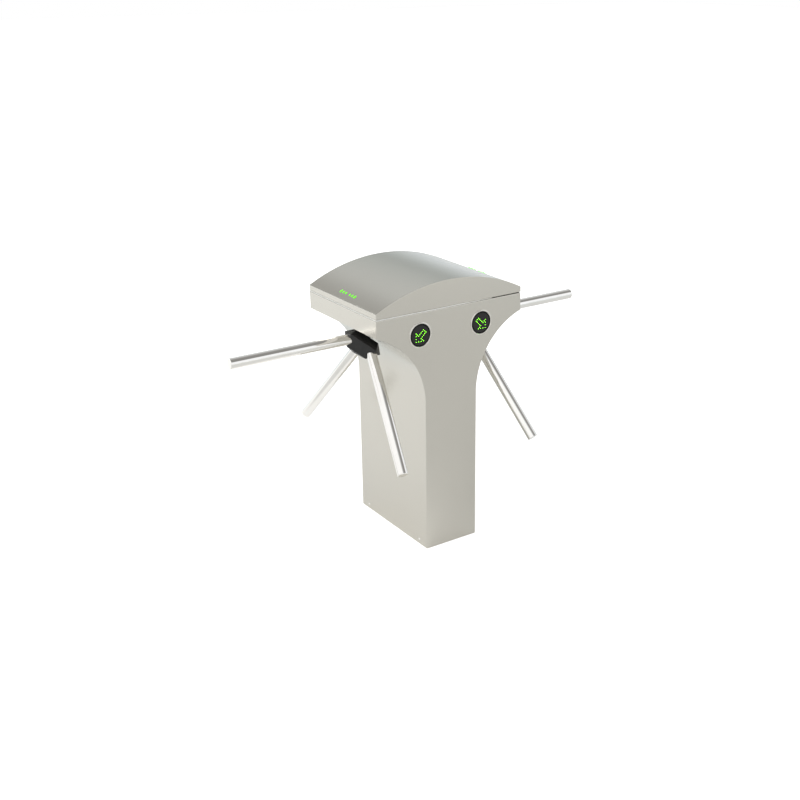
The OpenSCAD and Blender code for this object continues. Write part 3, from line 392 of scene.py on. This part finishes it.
# %% [markdown]
# ## Circuit boards
# A board is glass cloth in epoxy, covered with green solder mask. Copper tracks stand up under
# the mask and show as slightly lighter lines. A brick pattern with a wide joint draws such
# tracks well enough for boards that mostly hide behind the lens.

# %% Circuit board
def solder_mask():
    """Green solder mask over copper tracks 2.5 mm apart, a quarter of the pattern's unit."""
    pattern_mm = 10
    material = new_material("green solder mask")
    tree = material.node_tree
    place = add(tree, "TexCoord").outputs["Object"]
    turned = add(tree, "Mapping", {"Vector": place, "Rotation": (0.0, radians(90), 0.0)})
    tracks = add(tree, "TexBrick", {
        "Vector": turned.outputs["Vector"],
        "Color1": linear("1D6436"),
        "Color2": linear("236E3D"),
        "Mortar": linear("3A8A55"),
        "Scale": 1 / (pattern_mm * mm),
        "Mortar Size": 0.06,
        "Brick Width": 0.9,
        "Row Height": 0.25,
    })
    return finish_with(material, add(tree, "BsdfPrincipled", {
        "Base Color": tracks.outputs["Color"],
        "Roughness": 0.35,
        "IOR": 1.52,
    }))


circuit_green = solder_mask()

# %% [markdown]
# ## Giving the CAD pieces their finishes
# Most pieces keep their CAD shape and only need the right finish. A table of finish and pieces
# is the clearest way to see that none was forgotten, and a check at the end of the cell says so
# if one was.

# %% Assign the finishes
def both_sides(*names):
    """The names of a piece on the left and on the right."""
    return [side + "_" + name for name in names for side in ("left", "right")]


finishes = {
    steel_upright: ["front_panel", "rear_panel"] + both_sides("side_skin"),
    steel_along: ["lid_shell"],
    steel_polished: both_sides("arm_1", "arm_2", "arm_3", "arm_caps")
    + ["lock_housing", "base_screws"],
    steel_trim: ["display_bezels"],
    hub_black: both_sides("hub"),
    zinc_plate: ["base_frame", "front_bulkhead", "rear_bulkhead", "encoder_brackets", "equipment_plate",
                 "lid_catch"]
    + both_sides("carrier_plate", "gear_plate", "shaft_nut"),
    turned_steel: ["plate_pillars", "pawl_pivots"]
    + both_sides("shaft", "hub_screws", "main_gear", "index_disc", "pinion", "pawl", "plunger"),
    bearing_steel: ["shaft_bearings"],
    spring_wire: ["pawl_springs"],
    cast_aluminium: ["bearing_housings", "power_supply"],
    motor_enamel: ["drive_motors", "pawl_solenoids"],
    abs_black: ["angle_encoders", "display_housings", "card_readers"],
    display_face: ["display_lenses"],
    circuit_green: ["display_boards", "controller_board"],
    sponge_black: ["lid_seal"],
    lock_brass: ["lock_cam"],
}
for finish, names in finishes.items():
    for name in names:
        cad[name].data.materials.clear()
        cad[name].data.materials.append(finish)
finished = [name for names in finishes.values() for name in names]
missing = sorted(set(cad) - set(finished))
print(len(finished), "CAD pieces have a finish; without one:", missing)

# %% [markdown]
# ## Softened hubs
# No real edge is perfectly sharp. The sheets have their bend radii in the CAD model, but the
# cast hubs are sharp there, while the real ones are rounded and catch a thin line of light. The
# CAD shapes can't be changed here, so a copy of each hub takes its place: flat faces are merged,
# and a narrow bevel runs along every edge that turns by more than 30 degrees.

# %% Copy a piece with softened edges
weld_within = 0.005 * mm
flat_within = radians(0.5)
sharp_from = radians(30)
hub_edge = 1.2 * mm


def softened(node, body, width, segments=3):
    """A copy of a CAD piece with bevelled edges, which stands for it."""
    piece = bpy.data.objects.new(node + "_soft", cad[node].data.copy())
    scene.collection.objects.link(piece)
    mesh = bmesh.new()
    mesh.from_mesh(piece.data)
    bmesh.ops.remove_doubles(mesh, verts=mesh.verts, dist=weld_within)
    bmesh.ops.dissolve_limit(mesh, angle_limit=flat_within, verts=mesh.verts, edges=mesh.edges)
    for face in mesh.faces:
        face.smooth = True
    mesh.to_mesh(piece.data)
    mesh.free()
    bevel = piece.modifiers.new("edges", "BEVEL")
    bevel.width = width
    bevel.segments = segments
    bevel.limit_method = "ANGLE"
    bevel.angle_limit = sharp_from
    bevel.harden_normals = True
    settled = bpy.data.meshes.new_from_object(piece.evaluated_get(bpy.context.evaluated_depsgraph_get()))
    piece.modifiers.clear()
    piece.data = settled
    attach(piece, body)
    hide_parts(node)
    print(node, "softened:", len(settled.polygons), "faces")


for side in ("left", "right"):
    softened(side + "_hub", side + "_rotor", hub_edge)

# %% [markdown]
# ## The arrows on the displays
# Each display shows an arrow as an outline of green dots, pointing down to the lane that it
# serves. The dots sit on a square grid. Walking along the outline from corner to corner gives
# their places: a sloping side has a dot at each step and a level or upright side at each second
# step, which keeps the spacing about equal. The other places of the grid hold unlit dots. Each
# dot is a low dome whose foot goes a little way into the dark face.

# %% Places of the dots
dot_pitch = 4.95 * mm
dot_r = 1.2 * mm
dot_rise = 0.5 * mm
dot_foot = 0.3 * mm
grid_last = 8
arrow_corners = [(6, 8), (8, 6), (4, 2), (6, 0), (0, 0), (0, 6), (2, 4)]


def outline_dots(corners):
    """The grid places along a closed outline of sloping, level and upright sides."""
    dots = set()
    for (x0, y0), (x1, y1) in zip(corners, corners[1:] + corners[:1]):
        run = max(abs(x1 - x0), abs(y1 - y0))
        steps = run if abs(x1 - x0) == abs(y1 - y0) else run // 2
        dots |= {(x0 + (x1 - x0) * i // steps, y0 + (y1 - y0) * i // steps) for i in range(steps)}
    return dots


arrow = outline_dots(arrow_corners)
print("dots in the arrow:", len(arrow))

# %% Shape of one dome
def angles_round(sides):
    """Evenly spaced angles round a full circle."""
    return [2 * pi * k / sides for k in range(sides)]


def dome(mesh, centre, right, up, out):
    """A low dome of rings, added to a bmesh."""
    rings, sides = 3, 14
    tip = mesh.verts.new(centre + dot_rise * out)
    rows = []
    for ring in range(1, rings + 1):
        tilt = ring / rings * pi / 2
        height, reach = dot_rise * cos(tilt), dot_r * sin(tilt)
        rows.append([mesh.verts.new(centre + height * out + reach * (cos(a) * right + sin(a) * up))
                     for a in angles_round(sides)])
    rows.append([mesh.verts.new(v.co - dot_foot * out) for v in rows[-1]])
    for k in range(sides):
        n = (k + 1) % sides
        mesh.faces.new((tip, rows[0][k], rows[0][n])).smooth = True
        for low, high in zip(rows[1:], rows):
            mesh.faces.new((high[k], low[k], low[n], high[n])).smooth = True
    mesh.faces.new(list(reversed(rows[-1])))


print("a dome is", round(2 * dot_r / mm, 1), "mm wide and stands", round(dot_rise / mm, 1), "mm proud")

# %% [markdown]
# The lit domes of one end of the cabinet go into one mesh and the dark ones into another, because
# hundreds of separate objects would be slow to handle. Each new mesh becomes a piece in the same
# way: its faces are turned outward, it gets its material, and it rides on a body.

# %% Turn a mesh into a piece
def mesh_piece(name, mesh, material, body):
    """Turns a bmesh into a piece that rides on a body."""
    bmesh.ops.recalc_face_normals(mesh, faces=mesh.faces)
    data = bpy.data.meshes.new(name)
    mesh.to_mesh(data)
    mesh.free()
    data.materials.append(material)
    piece = bpy.data.objects.new(name, data)
    scene.collection.objects.link(piece)
    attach(piece, body)
    print(name, "has", len(data.polygons), "faces")


# %% Set the dots on the displays
lens_low, lens_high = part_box("display_lenses")
bezel_low, bezel_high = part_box("display_bezels")
display_r = (bezel_high.z - bezel_low.z) / 2
display_x = bezel_high.x - display_r
display_z = (bezel_high.z + bezel_low.z) / 2
upright = Vector((0, 0, 1))
grid_inward = 2 * mm
grid_drop = 2 * mm
display_ends = (("front", -1, lens_low.y), ("rear", 1, lens_high.y))

for end, out_y, face_y in display_ends:
    out = Vector((0, out_y, 0))
    right = upright.cross(out)
    lit, dark = bmesh.new(), bmesh.new()
    for side in (-1, 1):
        centre = Vector((side * (display_x - grid_inward), face_y, display_z - grid_drop))
        toward_right = side * right.x > 0
        for i in range(grid_last + 1):
            for j in range(grid_last + 1):
                column = grid_last - i if toward_right else i
                spot = centre + dot_pitch * ((i - grid_last / 2) * right + (j - grid_last / 2) * upright)
                dome(lit if (column, j) in arrow else dark, spot, right, upright, out)
    mesh_piece(end + "_arrow_dots", lit, diode_lit, "cabinet")
    mesh_piece(end + "_unlit_dots", dark, diode_dark, "cabinet")
print("display centres at x, z in mm:", round(display_x / mm, 1), round(display_z / mm, 1))

# %% [markdown]
# A black ring lies round the edge of each lens. It is darker than the smoked acrylic, so the lens
# seems to be set in a ring.

# %% Print the borders
border_w = 4.2 * mm
border_inset = 1.1 * mm
ring_t = 0.08 * mm
lens_r = (lens_high.z - lens_low.z) / 2


def close_round(mesh, rows):
    """Joins closed rows of points by faces, and the last row to the first."""
    for near, far in zip(rows, rows[1:] + rows[:1]):
        for k in range(len(near)):
            n = (k + 1) % len(near)
            mesh.faces.new((near[k], near[n], far[n], far[k]))


def border_ring(mesh, centre, out):
    """A flat ring on a lens, with its two edges closed down to the acrylic."""
    sides = 96
    outer = lens_r - border_inset
    inner = outer - border_w
    rows = []
    for reach, rise in ((outer, -ring_t), (outer, ring_t), (inner, ring_t), (inner, -ring_t)):
        rows.append([mesh.verts.new(centre + rise * out + reach * Vector((cos(a), 0, sin(a))))
                     for a in angles_round(sides)])
    close_round(mesh, rows)


for end, out_y, face_y in display_ends:
    borders = bmesh.new()
    for side in (-1, 1):
        border_ring(borders, Vector((side * display_x, face_y, display_z)), Vector((0, out_y, 0)))
    mesh_piece(end + "_lens_borders", borders, black_lens_ring, "cabinet")
print("borders", border_w / mm, "mm wide")

# %% [markdown]
# ## The seal's lip
# Between the lid and the cabinet runs a 2 mm seam, and both sheets fold into it. The lid rests
# on a black sponge, and a white silicone lip in front of it fills the groove. Its white is partly a
# painted highlight: it stands for the light that the folded sheet edge catches. A round bead would
# sit in its own shadow, so the lip is a strip with a flat face. Its face is nearly level with
# the sheets on the left, where it shows as a fine pale line. From the middle of the front it
# goes in more and more, until the dark groove shows in front of the sponge on the right.

# %% Lay the lip into the seam
seam_half = 1.0 * mm
lip_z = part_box("lid_seal")[0].z + seam_half
panel_low, panel_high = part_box("front_panel")
lip_bend_x = -50 * mm
face_half, neck_half = 1.3 * mm, 0.95 * mm
level_in, drawn_in = 0.2 * mm, 6.0 * mm
face_t, drawn_face_t, thick = 1.2 * mm, 0.2 * mm, 3.0 * mm


def lip_line(mesh, left_in, left_rise, right_in, right_rise):
    """One line of the strip round the head, with its own depth and height at the left and right."""
    left = -panel_high.x + left_in, -panel_low.y - left_in, lip_z + left_rise
    right = panel_high.x - right_in, -panel_low.y - right_in, lip_z + right_rise
    bend = lip_bend_x, left[1], left[2]
    front = [(x, -y, z) for x, y, z in (left, bend, right)]
    return [mesh.verts.new(place) for place in front + [right, bend, left]]


lip = bmesh.new()
lip_lines = [
    lip_line(lip, level_in, -face_half, drawn_in, -neck_half),
    lip_line(lip, level_in, face_half, drawn_in, neck_half),
    lip_line(lip, level_in + face_t, neck_half, drawn_in + drawn_face_t, neck_half),
    lip_line(lip, level_in + thick, neck_half, drawn_in + thick, neck_half),
    lip_line(lip, level_in + thick, -neck_half, drawn_in + thick, -neck_half),
    lip_line(lip, level_in + face_t, -neck_half, drawn_in + drawn_face_t, -neck_half),
]
close_round(lip, lip_lines)
mesh_piece("seal_lip_and_painted_highlight", lip, white_lip_and_painted_highlight, "cabinet")
lip_heights = [round(z / mm, 2) for z in (lip_z - face_half, lip_z + face_half)]
print("the lip's face lies between these heights, in mm:", lip_heights)

# %% [markdown]
# ## The reader marks
# A green mark on each slope of the lid shows where to hold a card: two groups of three curved
# strokes, the common sign for a radio field. On the real object they are slim acrylic windows
# lit from the reader below. Each stroke is a bent strip with round ends. It is drawn flat, as
# distances along the slope and along the lid, and then wrapped onto the lid's cylinder. The
# radius of that cylinder follows from the lid's width and from how far its crown stands above
# its left and right ends.

# %% Wrap a point onto the lid
mark_x = 274.5 * mm
lid_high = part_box("lid_shell")[1]
lid_half = lid_high.x
crown_rise = 75.2 * mm
crown_r = (lid_half ** 2 + crown_rise ** 2) / (2 * crown_rise)
crown_z = lid_high.z - crown_r
print("radius of the lid's curve, in mm:", round(crown_r / mm, 1))


def on_lid(side, down, along, rise):
    """A point on the lid: down the slope from the mark's centre, along Y, and above the sheet."""
    turn = side * (asin(mark_x / crown_r) + down / crown_r)
    reach = crown_r + rise
    return Vector((reach * sin(turn), along, crown_z + reach * cos(turn)))


# %% Points of one stroke
stroke_rows = [(47 * mm, 6.8 * mm), (30 * mm, 5.3 * mm), (13.5 * mm, 4.3 * mm)]
stroke_w = 1.3 * mm
stroke_rise = 2.1 * mm
stroke_foot = 0.5 * mm
end_w = 0.02 * mm
bow = 0.3
steps_along, steps_across = 14, 4


def stroke_grid(mesh, side, row, half, hand, rise):
    """The points of one curved stroke at one height above the lid, in lines across the stroke."""
    sagitta = bow * half
    radius = (half ** 2 + sagitta ** 2) / (2 * sagitta)
    reach = asin(half / radius)
    round_share = stroke_w / 2 / half
    lines = []
    for i in range(steps_along + 1):
        place = i / steps_along * 2 - 1
        angle = place * reach
        tip = max(0.0, abs(place) - 1 + round_share) / round_share
        wide = stroke_w / 2 * sqrt(max(0.0, 1 - tip ** 2)) + end_w
        line = []
        for k in range(steps_across + 1):
            r = radius + wide * (2 * k / steps_across - 1)
            along = hand * (row - radius + r * cos(angle))
            line.append(mesh.verts.new(on_lid(side, r * sin(angle), along, rise)))
        lines.append(line)
    return lines


print("a stroke has", (steps_along + 1) * (steps_across + 1), "points on its top")

# %% Build the marks
def stroke(mesh, side, row, half, hand):
    """One curved stroke, bowed away from the mark's middle, with its top, foot and edges."""
    top = stroke_grid(mesh, side, row, half, hand, stroke_rise)
    low = stroke_grid(mesh, side, row, half, hand, -stroke_foot)
    for i in range(steps_along):
        for k in range(steps_across):
            mesh.faces.new((top[i][k], top[i + 1][k], top[i + 1][k + 1], top[i][k + 1]))
            mesh.faces.new((low[i][k], low[i][k + 1], low[i + 1][k + 1], low[i + 1][k]))
        for k in (0, steps_across):
            mesh.faces.new((top[i][k], low[i][k], low[i + 1][k], top[i + 1][k]))
    for i in (0, steps_along):
        for k in range(steps_across):
            mesh.faces.new((top[i][k], top[i][k + 1], low[i][k + 1], low[i][k]))


for name, side in (("left", -1), ("right", 1)):
    mark = bmesh.new()
    for row, half in stroke_rows:
        for hand in (-1, 1):
            stroke(mark, side, row, half, hand)
    mesh_piece(name + "_reader_mark", mark, mark_lit, "lid")
print("strokes on each side of the lid:", 2 * len(stroke_rows))

# %% [markdown]
# ## The floor
# Satin steel shows its surroundings more than its own colour, so the floor matters as much as
# the finish: the upright faces mirror nothing else. It is one face of matt white paper, so wide
# that its edge doesn't show.

# %% Floor
floor_half = 40.0

floor_mesh = bmesh.new()
corners = [(-1, -1), (1, -1), (1, 1), (-1, 1)]
floor_mesh.faces.new([floor_mesh.verts.new((x * floor_half, y * floor_half, 0.0)) for x, y in corners])
floor_data = bpy.data.meshes.new("floor")
floor_mesh.to_mesh(floor_data)
floor_mesh.free()
floor = bpy.data.objects.new("floor", floor_data)
scene.collection.objects.link(floor)
print("floor", 2 * floor_half, "m wide")

# %% [markdown]
# ## Matt white paper with painted light in mirrors
# What the paper gives off by itself is only seen by the camera and in mirrors, so it looks white
# there, lights nothing, and still takes the turnstile's soft shadow. In mirrors this glow is
# painted light. It is painted lighter far away than close by, which stands for shade close to the
# turnstile. A painted pool of light makes it lightest in a strip that runs away to the back left,
# which the left side mirrors. That is why the front is the darker of the two faces. Behind the
# turnstile and to its right the mirrored paper is painted with a cool tint, which stands for
# daylight falling on it there. More lamps could draw these patches too, but they would also light
# the turnstile.

# %% Helpers for places in the studio
def soft_step(tree, value, start, stop, low=0.0, high=1.0):
    """A value that goes smoothly from low at start to high at stop."""
    return add(tree, "MapRange", {
        "Value": value,
        "From Min": start,
        "From Max": stop,
        "To Min": low,
        "To Max": high,
    }, interpolation_type="SMOOTHSTEP").outputs["Result"]


def measured_along(tree, place, way):
    """How far a place lies along a level direction."""
    return add(tree, "VectorMath", {0: place, 1: (*way, 0.0)}, operation="DOT_PRODUCT").outputs["Value"]


# %% Painted light on the mirrored paper
paper = new_material("matt white paper with painted light in mirrors")
tree = paper.node_tree
place = add(tree, "TexCoord").outputs["Object"]
path = add(tree, "LightPath")
mirrored = add(tree, "Math", {
    0: path.outputs["Is Glossy Ray"],
    1: path.outputs["Is Transmission Ray"],
}, operation="MAXIMUM")
across = measured_along(tree, place, (1.0, 0.0))
# Painted light: the mirrored paper is painted lighter towards the left.
painted_left_light = soft_step(tree, across, start=1.5, stop=-0.9, low=0.03, high=0.35)
# Painted pool of light: a strip that runs away to the back left.
along_strip = measured_along(tree, place, (-0.55, 0.84))
strip_length = soft_step(tree, along_strip, start=-0.7, stop=-0.1, low=0.6, high=1.0)
across_strip = measured_along(tree, place, (-0.79, -0.63))
strip_width = soft_step(tree, across_strip, start=0.26, stop=0.46, low=1.0, high=0.15)
strip = add(tree, "Math", {0: strip_length, 1: strip_width}, operation="MULTIPLY")
painted_light_strip = add(tree, "Math", {0: painted_left_light, 1: strip.outputs[0]}, operation="MULTIPLY")
distance = add(tree, "VectorMath", {0: place}, operation="LENGTH").outputs["Value"]
# Painted light: lighter far away, which stands for shade close to the turnstile.
painted_far_light = soft_step(tree, distance, start=2.6, stop=6.0, low=0.0, high=0.26)
painted_mirror_light = add(tree, "Math", {0: painted_light_strip.outputs[0], 1: painted_far_light}, operation="MAXIMUM")
print("nodes that set the brightness:", len(tree.nodes))

# %% Put the paper together
white_to_camera = 0.6
# Painted light: a cool tint behind the turnstile and to its right, which stands for daylight.
behind = soft_step(tree, measured_along(tree, place, (1.5, 1.0)), start=0.2, stop=1.1)
painted_tint_share = add(tree, "Math", {0: behind, 1: mirrored.outputs[0]}, operation="MULTIPLY")
tint = blend_colours(tree, painted_tint_share.outputs[0], "FFFFFF", "B2CCD8")
# The painted light reaches mirrors only. The camera gets an even white.
painted_light_share = add(tree, "Math", {0: mirrored.outputs[0], 1: painted_mirror_light.outputs[0]}, operation="MULTIPLY")
lift = add(tree, "Math", {
    0: path.outputs["Is Camera Ray"],
    1: white_to_camera,
    2: painted_light_share.outputs[0],
}, operation="MULTIPLY_ADD")
matt = add(tree, "BsdfDiffuse", {"Color": linear("F4F4F2"), "Roughness": 0.5})
glow = add(tree, "Emission", {"Color": tint, "Strength": lift.outputs[0]})
finish_with(paper, add(tree, "AddShader", {0: matt.outputs[0], 1: glow.outputs[0]}))
floor_data.materials.append(paper)
print("paper gives", white_to_camera, "of white to the camera")

# %% [markdown]
# ## The room
# The world stands for the room, and the lid and the arms mirror it. At the back it is a pale
# wall with a grey band a little above eye level and a greyer ceiling. The front is a white
# cloth, and a large white screen stands on the left, which gives the front arm its broad white
# band. High up in front, a little to the right, the room is unlit: this dark patch draws the
# long dark lines on the arms, and without it they would look like white plastic. A smaller and
# fainter dark corner high at the back darkens the lid towards its left rim.

# %% World
world = bpy.data.worlds.new("studio")
scene.world = world
world.use_nodes = True
tree = world.node_tree
tree.nodes.clear()
room_strength = 1.15
direction = add(tree, "TexCoord").outputs["Generated"]
parts = add(tree, "SeparateXYZ", {"Vector": direction})

back_wall = add(tree, "ValToRGB", {"Fac": parts.outputs["Z"]})
wall_colours = [
    (0.0, "DDE4E9"), (0.05, "DCE1E6"), (0.1, "D6DCDF"), (0.15, "CAD0D1"),
    (0.21, "B7BEBE"), (0.28, "A6AAA9"), (0.34, "C2C8C7"), (0.41, "C6CACA"),
    (0.48, "D4D6D6"), (0.62, "D4D6D6"), (0.8, "BCBCBC"), (1.0, "AAAAA8"),
]
while len(back_wall.color_ramp.elements) < len(wall_colours):
    back_wall.color_ramp.elements.new(0.5)
for element, (height, colour) in zip(back_wall.color_ramp.elements, wall_colours):
    element.position = height
    element.color = linear(colour)
print("wall ready, strength", room_strength)

# %% Hang the screens and the dark patch
def around(centre, inner, outer):
    """1 within the inner angle round a direction, down to 0 at the outer one, both in degrees."""
    middle = Vector(centre).normalized()
    aligned = add(tree, "VectorMath", {0: direction, 1: middle}, operation="DOT_PRODUCT")
    return soft_step(tree, aligned.outputs["Value"], cos(radians(outer)), cos(radians(inner)))


front_cloth = soft_step(tree, parts.outputs["Y"], start=0.15, stop=-0.25)
colour = mix_colours(tree, front_cloth, back_wall.outputs["Color"], linear("FAFCFF"))
left_screen = around((-0.9, 0.0, 0.44), inner=42, outer=62)
colour = mix_colours(tree, left_screen, colour, linear("FFFFFF"))
patch_edge = soft_step(tree, parts.outputs["Z"], start=0.48, stop=0.66)
patch_round = around((0.44, -0.38, 0.815), inner=8, outer=50)
dark_patch = add(tree, "Math", {0: patch_round, 1: patch_edge}, operation="MULTIPLY").outputs[0]
colour = mix_colours(tree, dark_patch, colour, linear("8C8B89"))
dark_corner = around((-0.15, 0.85, 0.55), inner=5, outer=23)
colour = mix_colours(tree, dark_corner, colour, linear("B0B0AE"))

room = add(tree, "Background", {"Color": colour, "Strength": room_strength})
white = add(tree, "Background", {"Color": linear("FFFFFF"), "Strength": 1.0})
camera_ray = add(tree, "LightPath").outputs["Is Camera Ray"]
sky = add(tree, "MixShader", {0: camera_ray, 1: room.outputs[0], 2: white.outputs[0]})
add(tree, "OutputWorld", {"Surface": sky.outputs[0]})
print("nodes in the room:", len(tree.nodes))

# %% [markdown]
# ## The lamp
# One large soft lamp stands high behind the turnstile, to its left. It brightens the paper that
# the left side mirrors, and the cabinet's shadow falls to the front right, on the paper that the
# front mirrors. A lamp as large as a window keeps the shadow's edge soft.

# %% Hang the lamp
lamp_place = Vector((-3.4, 3.8, 4.4))
lamp_target = Vector((-0.4, 0.6, 0))
lamp_width, lamp_height = 2.6, 2.0
lamp_watts = 65

lamp_data = bpy.data.lights.new("back_left_softbox", "AREA")
lamp_data.shape = "RECTANGLE"
lamp_data.size = lamp_width
lamp_data.size_y = lamp_height
lamp_data.energy = lamp_watts
lamp = bpy.data.objects.new("back_left_softbox", lamp_data)
lamp.location = lamp_place
lamp.rotation_euler = (lamp_target - lamp_place).to_track_quat("-Z", "Y").to_euler()
scene.collection.objects.link(lamp)
print("lamp at", [round(c, 2) for c in lamp_place], "with", lamp_watts, "W")
